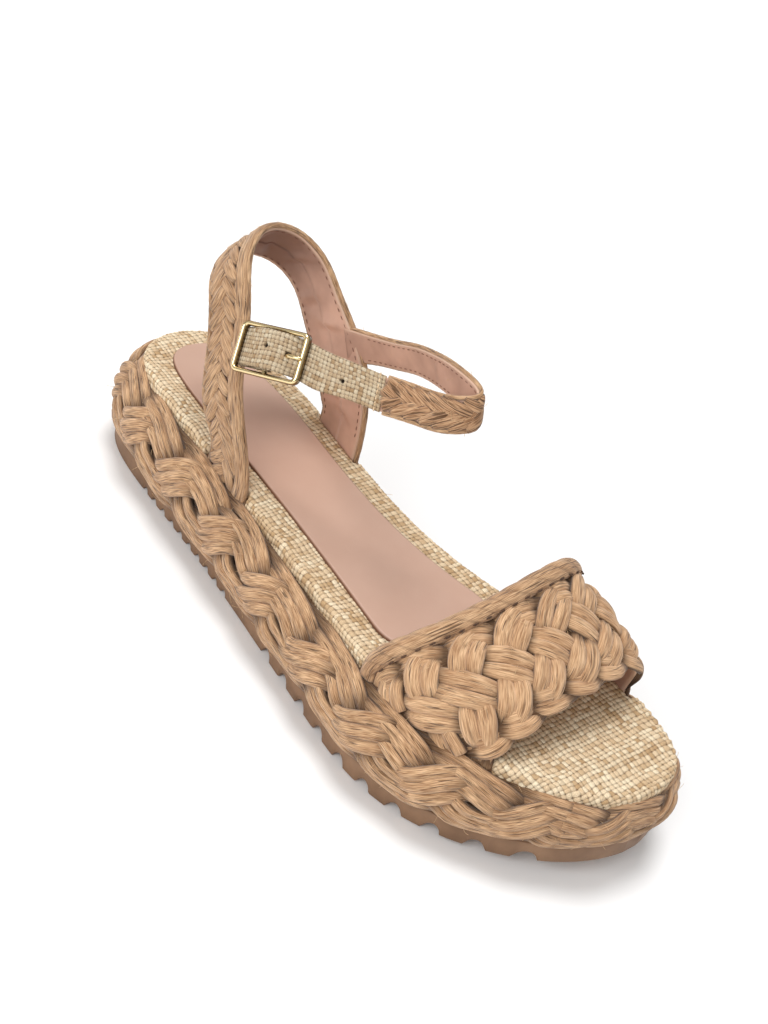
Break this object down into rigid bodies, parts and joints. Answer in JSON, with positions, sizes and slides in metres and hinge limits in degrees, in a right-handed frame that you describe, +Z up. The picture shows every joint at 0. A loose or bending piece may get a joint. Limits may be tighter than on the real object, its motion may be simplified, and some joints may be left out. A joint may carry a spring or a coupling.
{
  "type": "platform sandal",
  "caption": "Open-toe platform sandal with a plaited jute sole wall, wide plaited toe band, braided heel and ankle straps and a pin buckle, for a right foot.",
  "frame": {"origin": "middle of the bounding box's base, on the floor that the sole stands on", "axes": "+Y from heel to toe, +X to the outer side of the foot, +Z up"},
  "size_m": [0.1012, 0.2616, 0.1079],
  "materials": {
    "rubber": "matt brown",
    "jute": "plaited fibre",
    "straw_cloth": "basket weave",
    "sock_leather": "smooth nude",
    "gold": "polished pale gold"
  },
  "bodies": {
    "root": {"outsole": "rubber", "platform": "jute", "footbed": "straw_cloth", "sock": "sock_leather", "toe_band": "jute", "ankle_straps": "jute", "strap_end": "straw_cloth", "buckle_tab": "straw_cloth", "buckle_frame": "gold", "buckle_prong": "gold"}
  },
  "joints": []
}
